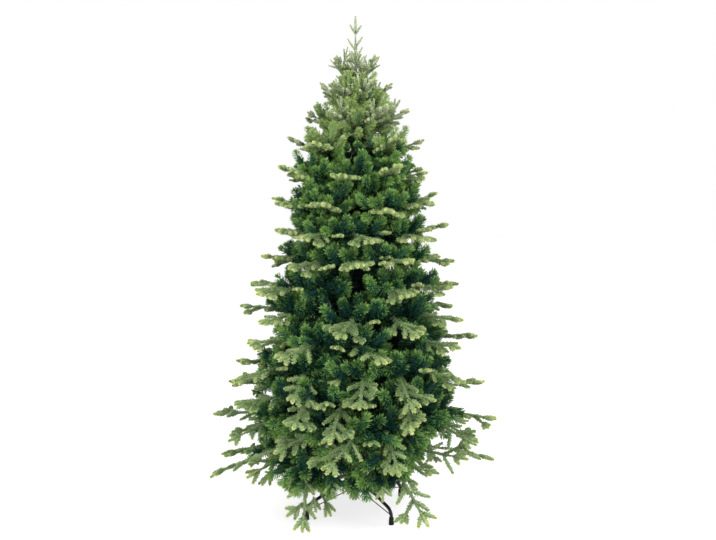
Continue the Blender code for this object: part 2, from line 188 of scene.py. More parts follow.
def mottled_finish(name, dark, light, scale, roughness, rougher=0.0, coat=0.0, grain=None, shine=0.5):
    """Principled material whose colour drifts from dark to light; the light places may be rougher,
    grain is the (scale, depth) of its relief, and shine is its reflection seen straight on."""
    finish = bpy.data.materials.new(name)
    finish.use_nodes = True
    nodes, links = finish.node_tree.nodes, finish.node_tree.links
    shader = nodes["Principled BSDF"]
    put_in(shader, Roughness=roughness, Coat_Weight=coat, Specular_IOR_Level=shine)
    mottle = nodes.new("ShaderNodeGroup")
    mottle.node_tree = mottled_colour
    put_in(mottle, Dark=(*dark, 1), Light=(*light, 1), Scale=scale)
    links.new(mottle.outputs["Colour"], shader.inputs["Base Color"])
    if rougher:
        gloss = nodes.new("ShaderNodeMapRange")
        put_in(gloss, To_Min=roughness, To_Max=roughness + rougher)
        links.new(mottle.outputs["Mask"], gloss.inputs["Value"])
        links.new(gloss.outputs["Result"], shader.inputs["Roughness"])
    if grain:
        relief = nodes.new("ShaderNodeGroup")
        relief.node_tree = fine_grain
        put_in(relief, Scale=grain[0], Depth=grain[1])
        links.new(relief.outputs["Normal"], shader.inputs["Normal"])
    return finish


widest, narrowest = POLE_TUBES[0][0], POLE_TUBES[-1][0]
pole_profile = [(0.0, POLE_FOOT), (widest - POLE_EDGE, POLE_FOOT), (widest, POLE_FOOT + POLE_EDGE)]
for (radius, top), (upper, _) in zip(POLE_TUBES, POLE_TUBES[1:]):
    groove, half = top - GROOVE_DROP, GROOVE_WIDTH / 2
    pole_profile += [(radius, groove - half), (radius - GROOVE_DEPTH, groove), (radius, groove + half)]
    pole_profile += [(radius, top - POLE_EDGE), (radius - POLE_EDGE, top), (upper, top)]
pole_profile += [(narrowest, POLE_TOP - POLE_EDGE), (narrowest - POLE_EDGE, POLE_TOP), (0.0, POLE_TOP)]
pole_paint = mottled_finish(
    "pole_green_enamel", (0.045, 0.044, 0.030), (0.085, 0.078, 0.058), 38.0, roughness=0.42, rougher=0.2,
    coat=0.2, grain=(420.0, 0.0002),
)
piece("pole_tubes", [turned(pole_profile, 40)], pole_paint, ["pole"])

# ---- stand hub
# A pressed steel sleeve round the foot of the pole, with two rolled flanges, a pair of ears and a
# pin for each leg, and a thumb screw that grips the pole. Black satin powder coat.
LEG_COUNT = 4
LEG_AZIMUTH = math.radians(-54)
LEG_PIN_HEIGHT = 0.112
LEG_PIN_REACH = 0.036
LEG_RADIUS = 0.0060
BRACE_HEIGHT = 0.0735
HUB_WALL = 0.0028
HUB_FLANGE = 0.0050
HUB_FOOT = 0.062
HUB_TOP = 0.150
HUB_EDGE = 0.0008
BRACE_FLANGE_HALF = 0.006
PIN_FLANGE_HALF = 0.010
EAR_REACH = 0.008
EAR_LENGTH, EAR_THICKNESS, EAR_HEIGHT = 0.026, 0.0024, 0.017
PIN_RADIUS = 0.0018
PIN_HEAD_RADIUS = 0.0026
PIN_HEAD_HEIGHT = 0.0012
PIN_EDGE = 0.0004
PIN_INSET = 0.001
SCREW_RADIUS = 0.0028
SCREW_LENGTH = 0.020
SCREW_DROP = 0.014
WING_SIZE = (0.010, 0.0042, 0.020)
WING_OVERHANG = 0.004
hub_inner = POLE_TUBES[0][0] + GAP
hub_outer = hub_inner + HUB_WALL
hub_rim = hub_outer + HUB_FLANGE
stand_paint = mottled_finish(
    "stand_black_coat", (0.004, 0.004, 0.005), (0.008, 0.008, 0.009), 60.0, roughness=0.34, rougher=0.12,
    coat=0.04, grain=(900.0, 0.00015), shine=0.25,
)


up_way = np.array((0.0, 0.0, 1.0))


def outwards(azimuth):
    """Level unit vector from the pole at an azimuth."""
    return np.array((math.cos(azimuth), math.sin(azimuth), 0.0))


def level_left(way):
    """The level part of a way, turned a quarter to the left."""
    return np.array((-way[1], way[0], 0.0))


def leg_way(number):
    """Level unit vector from the pole towards this leg."""
    return outwards(LEG_AZIMUTH + 2 * math.pi * number / LEG_COUNT)


def swept(path, radii, sides, side_way):
    """Tube along a path: round each point a ring at that point's radius, across the path's own
    tangent, its first point towards side_way. Fans close both ends."""
    path = np.asarray(path, float)
    radii = np.broadcast_to(np.asarray(radii, float), len(path))
    along = np.gradient(path, axis=0)
    along /= np.linalg.norm(along, axis=1, keepdims=True)
    side = np.asarray(side_way, float) - (along @ side_way)[:, None] * along
    side /= np.linalg.norm(side, axis=1, keepdims=True)
    other = np.cross(along, side)
    turn = np.arange(sides) * 2 * np.pi / sides
    ring = np.cos(turn)[None, :, None] * side[:, None] + np.sin(turn)[None, :, None] * other[:, None]
    points = (path[:, None] + radii[:, None, None] * ring).reshape(-1, 3)
    row = np.arange(len(path) - 1)[:, None] * sides
    here, there = np.arange(sides), (np.arange(sides) + 1) % sides
    quads = np.stack((row + here, row + there, row + there + sides, row + here + sides), axis=2)
    end = len(points) - sides
    first, final = len(points), len(points) + 1
    near = np.stack((np.full(sides, first), there, here), axis=1)
    far = np.stack((np.full(sides, final), end + here, end + there), axis=1)
    return np.concatenate((points, path[[0, -1]])), [quads.reshape(-1, 4), near, far]


def rounded_plate(centre, way, size, power, count=48):
    """Flat plate with a rounded outline in the plane of way and z: half its length times the cosine
    raised to a power, and half its height times the sine raised to it, each with its own sign. It is
    given its thickness across, and fans close both faces."""
    length, thickness, height = size
    turn = np.arange(count) * 2 * np.pi / count
    u = np.sign(np.cos(turn)) * np.abs(np.cos(turn)) ** power * length / 2
    v = np.sign(np.sin(turn)) * np.abs(np.sin(turn)) ** power * height / 2
    outline = centre + u[:, None] * way + v[:, None] * up_way
    half = level_left(way) * thickness / 2
    points = np.concatenate((outline - half, outline + half, [centre - half], [centre + half]))
    here, there = np.arange(count), (np.arange(count) + 1) % count
    rim = np.stack((here, here + count, there + count, there), axis=1)
    near = np.stack((np.full(count, 2 * count), here, there), axis=1)
    far = np.stack((np.full(count, 2 * count + 1), there + count, here + count), axis=1)
    return points, [rim, near, far]


hub_profile = [(hub_inner, HUB_FOOT), (hub_outer - HUB_EDGE, HUB_FOOT), (hub_outer, HUB_FOOT + HUB_EDGE)]
for middle, half in ((BRACE_HEIGHT, BRACE_FLANGE_HALF), (LEG_PIN_HEIGHT, PIN_FLANGE_HALF)):
    low, high = middle - half, middle + half
    hub_profile += [(hub_outer, low), (hub_rim - HUB_EDGE, low), (hub_rim, low + HUB_EDGE)]
    hub_profile += [(hub_rim, high - HUB_EDGE), (hub_rim - HUB_EDGE, high), (hub_outer, high)]
hub_profile += [(hub_outer, HUB_TOP - HUB_EDGE), (hub_outer - HUB_EDGE, HUB_TOP), (hub_inner, HUB_TOP)]
hub_parts = [turned([*hub_profile, hub_profile[0]], 48)]
for number in range(LEG_COUNT):
    way = leg_way(number)
    across = level_left(way)
    for side in (-1, 1):
        offset = across * side * (LEG_RADIUS + GAP + EAR_THICKNESS / 2)
        centre = way * (hub_rim + EAR_REACH) + offset + up_way * LEG_PIN_HEIGHT
        hub_parts.append(rounded_plate(centre, way, (EAR_LENGTH, EAR_THICKNESS, EAR_HEIGHT), 0.45))
    pin = way * (LEG_PIN_REACH + PIN_INSET) + up_way * LEG_PIN_HEIGHT
    head = LEG_RADIUS + GAP + EAR_THICKNESS
    half = head + PIN_HEAD_HEIGHT
    ends = [pin + across * out for out in (-half, PIN_EDGE - half, -head, head, half - PIN_EDGE, half)]
    radii = (PIN_RADIUS, *[PIN_HEAD_RADIUS] * 4, PIN_RADIUS)
    hub_parts.append(swept(ends, radii, 14, up_way))
screw_way = outwards(FLAT)
screw_height = up_way * (HUB_TOP - SCREW_DROP)
screw_end = hub_outer + SCREW_LENGTH
shank = [screw_way * reach + screw_height for reach in (hub_inner + 0.001, hub_outer + 0.006, screw_end)]
hub_parts.append(swept(shank, SCREW_RADIUS, 14, up_way))
wing = screw_way * (screw_end + WING_OVERHANG) + screw_height
hub_parts.append(rounded_plate(wing, screw_way, WING_SIZE, 0.7))
piece("stand_hub", hub_parts, stand_paint, ["hub"])

# ---- stand legs
# Round steel tube bent near its end, so that the leg falls away from the hub and its foot stands
# upright. The other end sits between two ears of the hub, on its pin. Same black coat.
LEG_REACH = 0.215
LEG_BEND_HEIGHT = 0.050
LEG_BEND_RADIUS = 0.034
CAP_FLOOR = 0.004
leg_fall = math.atan2(LEG_PIN_HEIGHT - LEG_BEND_HEIGHT, LEG_REACH - LEG_PIN_REACH)
bend_turn = math.pi / 2 - leg_fall
bend_height = LEG_BEND_HEIGHT - LEG_BEND_RADIUS * math.tan(bend_turn / 2)
bend_out = LEG_REACH - LEG_BEND_RADIUS
turns = np.linspace(bend_turn, 0, 14)
arc = LEG_BEND_RADIUS * np.stack((np.cos(turns), np.sin(turns)), axis=1)
bend = np.array((bend_out, bend_height)) + arc
straight = np.linspace((LEG_PIN_REACH, LEG_PIN_HEIGHT), bend[0], 8)[:-1]
leg_line = np.concatenate((straight, bend, [(LEG_REACH, CAP_FLOOR + GAP + 0.001)]))
for number in range(LEG_COUNT):
    way = leg_way(number)
    path = leg_line[:, :1] * way + leg_line[:, 1:] * up_way
    leg = swept(path, LEG_RADIUS, 28, level_left(way))
    piece(f"leg_tube_{number + 1}", [leg], stand_paint, [f"leg_{number + 1}"])

# ---- stand braces
# A straight steel wire from the lower flange to the inside of each leg's bend keeps the leg from
# spreading. Same black coat.
BRACE_RADIUS = 0.0018
BRACE_END_HEIGHT = 0.034
HUB_BITE, LEG_BITE = 0.0008, 0.0012
for number in range(LEG_COUNT):
    way = leg_way(number)
    inside = LEG_BEND_RADIUS - LEG_RADIUS
    rise = BRACE_END_HEIGHT + BRACE_RADIUS - bend_height
    leg_edge = bend_out + math.sqrt(inside**2 - rise**2)
    start = way * (hub_rim - HUB_BITE) + up_way * BRACE_HEIGHT
    end = way * (leg_edge + LEG_BITE) + up_way * BRACE_END_HEIGHT
    brace = swept(np.linspace(start, end, 4), BRACE_RADIUS, 12, up_way)
    piece(f"brace_wire_{number + 1}", [brace], stand_paint, [f"brace_{number + 1}"])

# ---- foot caps
# A cup moulded in black rubber and pushed over each leg's end, with a rolled lip at its mouth. It
# keeps the steel off the floor.
CAP_RADIUS = 0.0095
CAP_HEIGHT = 0.026
CAP_LIP = CAP_RADIUS * 0.88
cap_hole = LEG_RADIUS + 0.0001
foot_rubber = mottled_finish(
    "foot_rubber", (0.006, 0.006, 0.006), (0.013, 0.013, 0.013), 240.0, roughness=0.70, rougher=0.12,
    grain=(700.0, 0.0003), shine=0.15,
)
cap_profile = [
    (0.0, 0.0), (CAP_RADIUS - 0.0012, 0.0), (CAP_RADIUS - 0.0003, 0.0004), (CAP_RADIUS, 0.0014),
    (CAP_LIP + 0.0002, CAP_HEIGHT - 0.003), (CAP_LIP, CAP_HEIGHT - 0.0008), (CAP_LIP - 0.0008, CAP_HEIGHT),
    (cap_hole, CAP_HEIGHT), (cap_hole, CAP_FLOOR), (0.0, CAP_FLOOR),
]
cap_points, cap_faces = turned(cap_profile, 28)
for number in range(LEG_COUNT):
    cap = (cap_points + leg_way(number) * LEG_REACH, cap_faces)
    piece(f"foot_cup_{number + 1}", [cap], foot_rubber, [f"foot_cap_{number + 1}"])

# ---- bough wires
# Boughs of twisted steel wire wrapped in green tape hang in rings up the pole. Each has a stem and
# a limb that forks off it on either side, laid on a dished surface: low rings droop, high ones rise.
RING_BOUGHS = (3, 4, 4, 4, 3, 3, 3, 3, 3, 3, 3, 2, 2, 2, 2)
RING_FLATS = (3, 0, 2, 1, 0, 2, 3, 1, 0, 3, 2, 0, 4, 2, 5)
RINGS = len(RING_BOUGHS)
LOWEST_RING = 0.275
RING_STEP = 0.088
CROWN_REACH = 0.527
CONE_FOOT = 0.63
CONE_TAPER = 0.275
PEAK_TAPER = 0.60
SAG = 0.014
LOW_STEM = 0.82
FAN = 0.62
SEED = 11
STEM_RADIUS = 0.0032
LIMB_RADIUS = 0.00256
WIRE_END_RADIUS = 0.00128
SPRAY_STALK = 0.200
SPRAY_SHRINK = 0.40
UNSPRAYED = 0.20
FORKS = ((-1, 0.17), (1, 0.27))


def ring_share(ring):
    """0 at the lowest ring and 1 at the highest."""
    return ring / (RINGS - 1)


def ring_height(ring):
    """Height at which a ring's boughs leave the pole."""
    return LOWEST_RING + RING_STEP * ring


def ring_slopes(ring):
    """Rise per metre at the pole and at the tip. At the pole it rises from 2 degrees at the lowest
    ring to 66 at the highest; the tip is 36 degrees flatter at the lowest ring and 8 at the highest."""
    share = ring_share(ring)
    start = 2 + 14 * share + 50 * share**4.5
    droop = 8 + 28 * math.exp(-1.7 * ring)
    return math.tan(math.radians(start)), math.tan(math.radians(start - droop))


def outline_radius(height):
    """Radius of the tree's outline: a cylinder, then a cone, then a sharper one up to the top."""
    return min(CROWN_REACH, CONE_FOOT - CONE_TAPER * height, PEAK_TAPER * (TREE_HEIGHT - height))


def ring_reach(ring):
    """Radius at which the ring's mean slope meets the outline, found by halving."""
    slope = sum(ring_slopes(ring)) / 2
    low_reach, high_reach = 0.0, CROWN_REACH
    for _ in range(30):
        middle = (low_reach + high_reach) / 2
        if middle < outline_radius(ring_height(ring) + middle * slope):
            low_reach = middle
        else:
            high_reach = middle
    return low_reach


def ring_surface(ring, radius):
    """Height of the ring's dished surface: its slope at the pole, eased to that at the tip."""
    start, end = ring_slopes(ring)
    return ring_height(ring) + start * radius + (end - start) / (2 * ring_reach(ring)) * radius**2


def limb_path(ring, first, radius, azimuth, sag, count):
    """Straight in plan from first to (radius, azimuth); its height is the ring's surface there, plus
    sag times the squared share of the way along."""
    last = radius * outwards(azimuth)
    share = np.linspace(0, 1, count)
    path = first + share[:, None] * (last - first)
    path[:, 2] = ring_surface(ring, np.hypot(path[:, 0], path[:, 1])) + sag * share**2
    path[0] = first
    return path


def along_path(path, share):
    """(point, unit direction) at a share of a path's points."""
    where = min(max(share, 0.0) * (len(path) - 1), len(path) - 1 - 1e-6)
    i = int(where)
    step = path[i + 1] - path[i]
    return path[i] + step * (where - i), step / np.linalg.norm(step)


def limb_length(path):
    """Sum of the lengths of a path's steps."""
    return float(np.linalg.norm(np.diff(path, axis=0), axis=1).sum())


def unit(vectors):
    """Vectors, each divided by its length."""
    return vectors / np.linalg.norm(vectors, axis=-1, keepdims=True)


def level_right(way):
    """Level unit vector to the right of a way."""
    return -unit(level_left(way))


def bough_limbs(ring, number, rng):
    """Paths of a bough's stem and of the two side limbs that fork off it, one to each hand, at a
    share of the stem."""
    azimuth = FLAT * RING_FLATS[ring] + 2 * math.pi * number / RING_BOUGHS[ring]
    reach = ring_reach(ring)
    flat = pole_radius(ring_height(ring)) * math.cos(FLAT / 2)
    root = outwards(azimuth) * (flat + GAP) + up_way * ring_height(ring)
    stem_reach = reach * rng.uniform(0.98, 1.0) * (LOW_STEM if ring == 0 else 1)
    limbs = [limb_path(ring, root, stem_reach, azimuth, rng.uniform(-SAG, SAG), 13)]
    for side, fork in FORKS:
        turn = side * FAN * math.pi / RING_BOUGHS[ring] * rng.uniform(0.92, 1.08)
        side_reach = reach * (rng.uniform(0.90, 0.98) + (0.03 if ring == 0 else 0))
        first = along_path(limbs[0], fork)[0]
        limbs.append(limb_path(ring, first, side_reach, azimuth + turn, rng.uniform(-SAG, SAG), 11))
    return limbs


def limb_draws(purpose, ring, number, order):
    """Random draws of one limb's own, for one purpose."""
    return random.Random(SEED * purpose + ring * 100 + number * 10 + order)


def sprayed(ring, number, order):
    """Whether a limb ends in a moulded spray: one in five of rings 2 to 6 doesn't."""
    rng = limb_draws(3000, ring, number, order)
    return not 2 <= ring <= 6 or rng.random() > UNSPRAYED


bough_names = []
limbs = []
for ring in range(RINGS):
    for number in range(RING_BOUGHS[ring]):
        rng = random.Random(SEED * 1000 + ring * 10 + number)
        bough_names.append(f"bough_{ring + 1:02d}_{'abcd'[number]}")
        for order, path in enumerate(bough_limbs(ring, number, rng)):
            limbs.append((ring, number, order, path))

wire_tape = mottled_finish(
    "wire_green_tape", (0.022, 0.030, 0.013), (0.060, 0.062, 0.034), 90.0, roughness=0.62, rougher=0.15,
    grain=(500.0, 0.0004),
)
wires = []
for ring, number, order, path in limbs:
    radii = np.linspace(LIMB_RADIUS if order else STEM_RADIUS, WIRE_END_RADIUS, len(path))
    clad = SPRAY_STALK * (1 - SPRAY_SHRINK * ring_share(ring)) / limb_length(path)
    bare = [along_path(path, share)[0] for share in np.linspace(0, max(1 - clad, 0.4), len(path))]
    wires.append(swept(bare, radii, 7, level_right(path[-1])))
piece("bough_wires", wires, wire_tape)

# ---- side twigs
# Each limb carries shorter wires on both sides, bound on with the same tape, which fill the fan
# between one limb and the next. Near the pole the lowest boughs also carry wires that hang, and the
# higher ones short wires that stand up or hang.
TWIG_STEP = 0.12
TWIG_RADII = (0.0017, 0.0010)
SHORTEST_TWIG = 0.035
HANGING_FALL = -1.4
HIGH_RISES = (-0.9, 0.5, -0.5)


def side_twig(path, share, hand, length, rise, rng):
    """Path of a wire that leaves a limb at a share of it, 40 to 60 degrees to one hand and tilted by
    rise, and bends forwards: root, plus way times the distance, plus a tenth of the length times the
    squared share along the limb."""
    root, way = along_path(path, share)
    angle = math.radians(rng.uniform(40, 60))
    aim = math.cos(angle) * way + math.sin(angle) * hand * level_right(way) + rise * up_way
    step = np.linspace(0, 1, 5)[:, None]
    return root + step * unit(aim) * length + step**2 * way * 0.10 * length


def underside(place):
    """Lowest height of the tinsel at a place: 0.100 m near the pole, and higher to the sides, by 0.7
    of the way beyond 0.10 m to the right and by 0.35 of that beyond 0.15 m to the left."""
    return 0.100 + 0.7 * max(0.0, place[0] - 0.10) + 0.35 * max(0.0, -place[0] - 0.15)


# Twigs are (ring, how far out along the limb they count, path).
twigs = []
for ring, number, order, path in limbs:
    rng = limb_draws(5000, ring, number, order)
    length = limb_length(path)
    count = int(length / TWIG_STEP)
    for i in range(count):
        share = 0.14 + 0.34 * (i + rng.uniform(0.1, 0.7)) / count
        for hand in (-1, 1):
            reach = length * (0.32 - 0.24 * share) * rng.uniform(0.8, 1.1)
            twig = side_twig(path, share, hand, reach, rng.uniform(-0.16, 0.12), rng)
            if reach > SHORTEST_TWIG and twig[-1][2] > underside(twig[-1]) + 0.03:
                twigs.append((ring, share if sprayed(ring, number, order) else 0.30, twig))
    if ring < 2:
        for i in range(7):
            share = 0.08 + 0.48 * (i + rng.uniform(0.1, 0.7)) / 7
            reach = 0.055 if ring == 0 else 0.210 - 0.12 * share
            twig = side_twig(path, share, 1 if i % 2 else -1, reach, HANGING_FALL, rng)
            if twig[-1][2] > underside(twig[-1]) + 0.05:
                twigs.append((ring, share, twig))
    if 9 <= ring <= 13:
        for i in range(6):
            share = 0.10 + 0.50 * (i + rng.uniform(0.2, 0.8)) / 6
            twig = side_twig(path, share, 1 if i % 2 else -1, 0.20 * length, HIGH_RISES[i % 3], rng)
            if math.hypot(twig[-1][0], twig[-1][1]) < 0.68 * ring_reach(ring):
                twigs.append((ring, min(share, 0.35), twig))
side_wires = []
for _, _, path in twigs:
    radii = np.linspace(*TWIG_RADII, len(path))
    side_wires.append(swept(path, radii, 5, level_right(path[-1] - path[0])))
piece("side_wires", side_wires, wire_tape)

# ---- tinsel tips
# The dense inside of each bough: short twists of wire that grip hundreds of narrow PVC film needles,
# like a bottle brush with a round end, on limbs and side twigs all round. The film's green is dealt
# in four tones: darker near the pole and at the needles' roots, as painted shade, and paler at the
# tips' ends, as painted highlight. Four yellower ones are used near the top.
TINSEL_LENGTH = 0.118
TIP_LENGTH = TINSEL_LENGTH * 0.64
TINSEL_NEEDLE = 0.032
GOLDEN = math.radians(137.508)
MOULDED_RING = 12
HIGH_BODY_ENDS = (0.60, 0.44, 0.24)
TINSEL_CORE = (0.0110, 0.0095)
TIP_BOW = 0.10
BODY_SHARE, HIGH_BODY_SHARE = 0.77, 0.80
DEEP_SHADE_TONE = 0.40
TONE_STEP = 0.20
PIECE_LIMIT = 190000
YELLOWER_ABOVE = 1.30


def spindles(roots, ways, lengths, rise, swells, sides):
    """Closed slim cores of many tips: a point at the root, rings of the two swells' radii at 0.3 and
    0.8 of the length, and a point at the end. They bow upwards by rise times the squared share."""
    side = unit(np.cross(ways, (0.31, 0.17, 0.94)))
    over = np.cross(side, ways)
    turn = np.arange(sides) * 2 * np.pi / sides
    circle = np.cos(turn)[:, None] * side[:, None] + np.sin(turn)[:, None] * over[:, None]

    def station(share):
        return roots + ways * (lengths * share)[:, None] + (rise * share**2)[:, None] * up_way

    low = station(0.3)[:, None] + circle * swells[0][:, None, None]
    high = station(0.8)[:, None] + circle * swells[1][:, None, None]
    near = np.broadcast_to(station(0.0)[:, None], low.shape)
    far = np.broadcast_to(station(1.0)[:, None], low.shape)
    low_next, high_next = np.roll(low, -1, axis=1), np.roll(high, -1, axis=1)
    faces = (near, low_next, low), (low, low_next, high_next)
    faces += (low, high_next, high), (high, high_next, far)
    return np.stack([np.stack(face, axis=2) for face in faces], axis=2).reshape(-1, 3, 3)


def kites(roots, ways, lengths, widths, across):
    """One kite for each needle, as its inner and its outer triangle: the root and two corners at 0.70
    of its length, half its width to each side; then those corners and its point."""
    middle = roots + ways * (lengths * 0.70)[..., None]
    half = across * (widths / 2)[..., None]
    left, right, point = middle - half, middle + half, roots + ways * lengths[..., None]
    return np.stack((roots, right, left), axis=-2), np.stack((left, right, point), axis=-2)


def wound(ways, upper, count, body, leans, fanning, loose, flatness, draws):
    """Needles wound round many wires, as (share along the wire, share of the fan, way). The first of
    them, up to the body's share, step along the wire and round it by the golden angle, and lean by
    the first of the leans at its root and by the second at its end. The rest fan out from its end,
    straighter by a power. Loose is how far turns and leans stray; the ring's height is its flatness."""
    shape = (len(ways), count)
    step = np.arange(count)
    order = np.clip((step + draws.uniform(-0.5, 0.5, shape)) / count, 0, 1)
    share = np.minimum(order / body, 1)
    fan = np.maximum(order - body, 0) / (1 - body)
    turn = step * GOLDEN + draws.uniform(-loose[0], loose[0], shape)
    lean = (leans[0] + (leans[1] - leans[0]) * share) * (1 - fan) ** fanning
    lean = np.radians(lean + draws.normal(0, loose[1], shape))[..., None]
    side = unit(np.cross(ways, upper) + 1e-9)[:, None]
    over = np.cross(side, ways[:, None])
    ring = np.cos(turn)[..., None] * side + (flatness * np.sin(turn))[..., None] * over
    return share, fan, unit(np.cos(lean) * ways[:, None] + np.sin(lean) * ring)


def brushes(tips, count, width, draws):
    """((triangles, tones), ...) of the needles and cores of many tips. A tip's needles lean 64
    degrees at its root and 44 at its end, where the last 0.16 of them round it off. A needle's tone
    is that of its tip, which is painted darker towards the pole, as shade. It is paler towards the
    tip's end and on its own outer half, as painted highlight, and darker at its root, as painted shade."""
    roots, ways, lengths, sizes, painted_tones = map(np.array, zip(*tips))
    share, fan, needle_ways = wound(ways, up_way, count, 0.84, (64, 44), 0.7, (0.35, 2.5), 1.0, draws)
    shape = share.shape
    starts = roots[:, None] + ways[:, None] * (lengths[:, None] * share)[..., None]
    starts = starts + (TIP_BOW * lengths[:, None] * share**2)[..., None] * up_way
    reach = TINSEL_NEEDLE * sizes[:, None] * (1 - 0.45 * np.exp(-share / 0.10)) * (1 - 0.20 * fan)
    reach = reach * draws.uniform(0.93, 1.03, shape)
    twist = draws.uniform(-0.9, 0.9, shape)
    flat_side = unit(np.cross(needle_ways, ways[:, None]) + 1e-9)
    flat_up = np.cross(flat_side, needle_ways)
    across = np.cos(twist)[..., None] * flat_side + np.sin(twist)[..., None] * flat_up
    widths = draws.uniform(0.88, 1.12, shape) * width
    tones = (painted_tones[:, None] + 0.46 * (share - 0.55) + draws.normal(0, 0.05, shape)).ravel()
    inner, outer = (part.reshape(-1, 3, 3) for part in kites(starts, needle_ways, reach, widths, across))
    swells = [core * sizes for core in TINSEL_CORE]
    cores = spindles(roots, ways, lengths, TIP_BOW * lengths, swells, 6)
    # The cores are painted much darker than their needles, as the shade among the needles' roots.
    core_tones = np.repeat(painted_tones - 0.30, len(cores) // len(tips))
    return (inner, tones - 0.07), (outer, tones + 0.15), (cores, core_tones)


def foliage_piece(name, corners, finish):
    """One object of loose triangles, filled straight from an array of their corners."""
    points = corners.reshape(-1, 3)
    faces = len(points) // 3
    mesh = bpy.data.meshes.new(name)
    mesh.vertices.add(len(points))
    mesh.vertices.foreach_set("co", points.astype(np.float32).ravel())
    mesh.loops.add(len(points))
    mesh.loops.foreach_set("vertex_index", np.arange(len(points), dtype=np.int32))
    mesh.polygons.add(faces)
    mesh.polygons.foreach_set("loop_start", np.arange(0, 3 * faces, 3, dtype=np.int32))
    mesh.update(calc_edges=True)
    return placed(name, mesh, finish)


def deal_out(parts, levels, darkest):
    """Deals triangles to the finishes by tone, in even steps that start at the darkest tone. A level
    past the triangle limit is cut into several pieces. The pieces, darkest first."""
    corners = np.concatenate([part for part, _ in parts])
    tones = np.concatenate([tone for _, tone in parts])
    level_of = np.clip((tones - darkest) / TONE_STEP, 0, len(levels) - 1).astype(int)
    made = []
    for level, finish in enumerate(levels):
        some = corners[level_of == level]
        for part, cut in enumerate(np.array_split(some, len(some) // PIECE_LIMIT + 1)):
            made.append(foliage_piece(f"{finish.name}_{part + 1}", cut, finish))
    return made


def tip_size(ring):
    """Tips are smaller on higher rings, and much smaller on the highest."""
    return 1.04 - 0.28 * ring_share(ring) - 0.22 * ring_share(ring) ** 6


def pole_side_tone(ring):
    """Tone of the tips next to the pole, where the painted shade is deepest, 0 for the darkest: they are
    paler on higher rings.
    """
    return 0.10 + 0.18 * ring_share(ring) + 0.40 * ring_share(ring) ** 4


def upper_side(way):
    """Unit vector across a way, as near to upwards as it can be."""
    return np.cross(level_right(way), way)


def tinsel_tip(path, share, turn, spread, size, painted_tone, lift_share, rise, rng):
    """(root, way, length, size, tone of painted shade) of a tip that leaves a path, turned round it,
    at an angle. One that would hang keeps only its lift share of that, and rise tilts it upwards."""
    root, way = along_path(path, share)
    lift = math.sin(turn) * (lift_share if math.sin(turn) < 0 else 1)
    out = unit(math.cos(turn) * level_right(way) + (lift + 0.1) * upper_side(way))
    aim = unit(math.cos(spread) * way + math.sin(spread) * out + rise * up_way)
    return root, aim, TIP_LENGTH * size * rng.uniform(0.80, 1.0), size, painted_tone + rng.uniform(-0.15, 0.15)


def inside_body(tip, ring):
    """Whether the tip ends short of the ring's sprays, within a share of the ring's reach, and above
    the underside of the crown."""
    root, aim, length, size, _ = tip
    end = root + aim * (length + 0.6 * TINSEL_NEEDLE * size)
    within = math.hypot(end[0], end[1]) < (BODY_SHARE if ring < 10 else HIGH_BODY_SHARE) * ring_reach(ring)
    return within and min(root[2], end[2]) > underside(end) + 0.012


def hidden(tip):
    """Whether a tip is painted in deep shade and rooted within half of the outline's radius."""
    root, painted_tone = tip[0], tip[4]
    return painted_tone < DEEP_SHADE_TONE and math.hypot(root[0], root[1]) < 0.5 * outline_radius(root[2])


tinsel = []
for ring, number, order, path in limbs:
    rng = limb_draws(7000, ring, number, order)
    length = limb_length(path)
    size = tip_size(ring)
    first = 0.06
    last = 0.76 - 0.66 * TINSEL_LENGTH * size / length
    if ring >= MOULDED_RING:
        last = HIGH_BODY_ENDS[ring - MOULDED_RING]
    count = max(2, int((last - first) * length / (0.0215 - 0.006 * ring_share(ring))))
    for i in range(count):
        share = first + (last - first) * (i + rng.uniform(0.2, 0.8)) / count
        if i % 3 == 0:
            turn, spread = rng.uniform(0.9, 2.2), math.radians(rng.uniform(50, 80))
        else:
            turn, spread = i * GOLDEN + rng.uniform(-0.4, 0.4), math.radians(rng.uniform(34, 62))
        lift_share = 0.9 if ring < 2 and share < 0.4 else 0.7
        rise = 0.0 if ring < 2 else rng.uniform(0.0, 1.1)
        # Tips are painted darker nearer the pole and paler further out along the limb, as shade and light.
        painted_tone = pole_side_tone(ring) + 0.84 * share
        tip = tinsel_tip(path, share, turn, spread, size, painted_tone, lift_share, rise, rng)
        if inside_body(tip, ring):
            tinsel.append(tip)
    if order == 0 and ring <= MOULDED_RING:
        for i in range(5):
            spread = math.radians(rng.uniform(62, 84))
            turn = i * 2 * math.pi / 5 + rng.uniform(-0.2, 0.2)
            # These tips at the stem's root are painted darkest, as the shade by the pole.
            share, painted_tone = 0.02 + 0.025 * i, pole_side_tone(ring) - 0.02
            tinsel.append(tinsel_tip(path, share, turn, spread, size, painted_tone, 1.0, 0.0, rng))
for number, (ring, at, path) in enumerate(twigs):
    rng = random.Random(SEED * 6000 + number)
    size = 0.98 * tip_size(ring)
    lift_share = 0.9 if ring < 2 and at < 0.4 else 0.6
    # Twig tips are painted paler further out; on the two lowest rings those nearer the pole are painted
    # paler still, as light from below.
    painted_tone = pole_side_tone(ring) + (0.26 if ring < 2 and at < 0.56 else 0.10) + 0.84 * at
    for share in (rng.uniform(0.3, 0.7), 1.0):
        spread = 0.15 if share == 1.0 else math.radians(rng.uniform(35, 65))
        turn = rng.uniform(0, 6.28)
        rise = 0.0 if ring < 2 else rng.uniform(0.3, 1.1)
        tip = tinsel_tip(path, share, turn, spread, size, painted_tone, lift_share, rise, rng)
        if inside_body(tip, ring):
            tinsel.append(tip)


def needle_finishes(gloss, tints):
    """Finishes of cut film or moulded needles, darkest first. Each has its (roughness, shine) and its
    (name, dark, light) tint, which drifts a little over the tree."""
    pairs = zip(tints, gloss)
    return [mottled_finish(*tint, 16.0, roughness, shine=shine) for tint, (roughness, shine) in pairs]


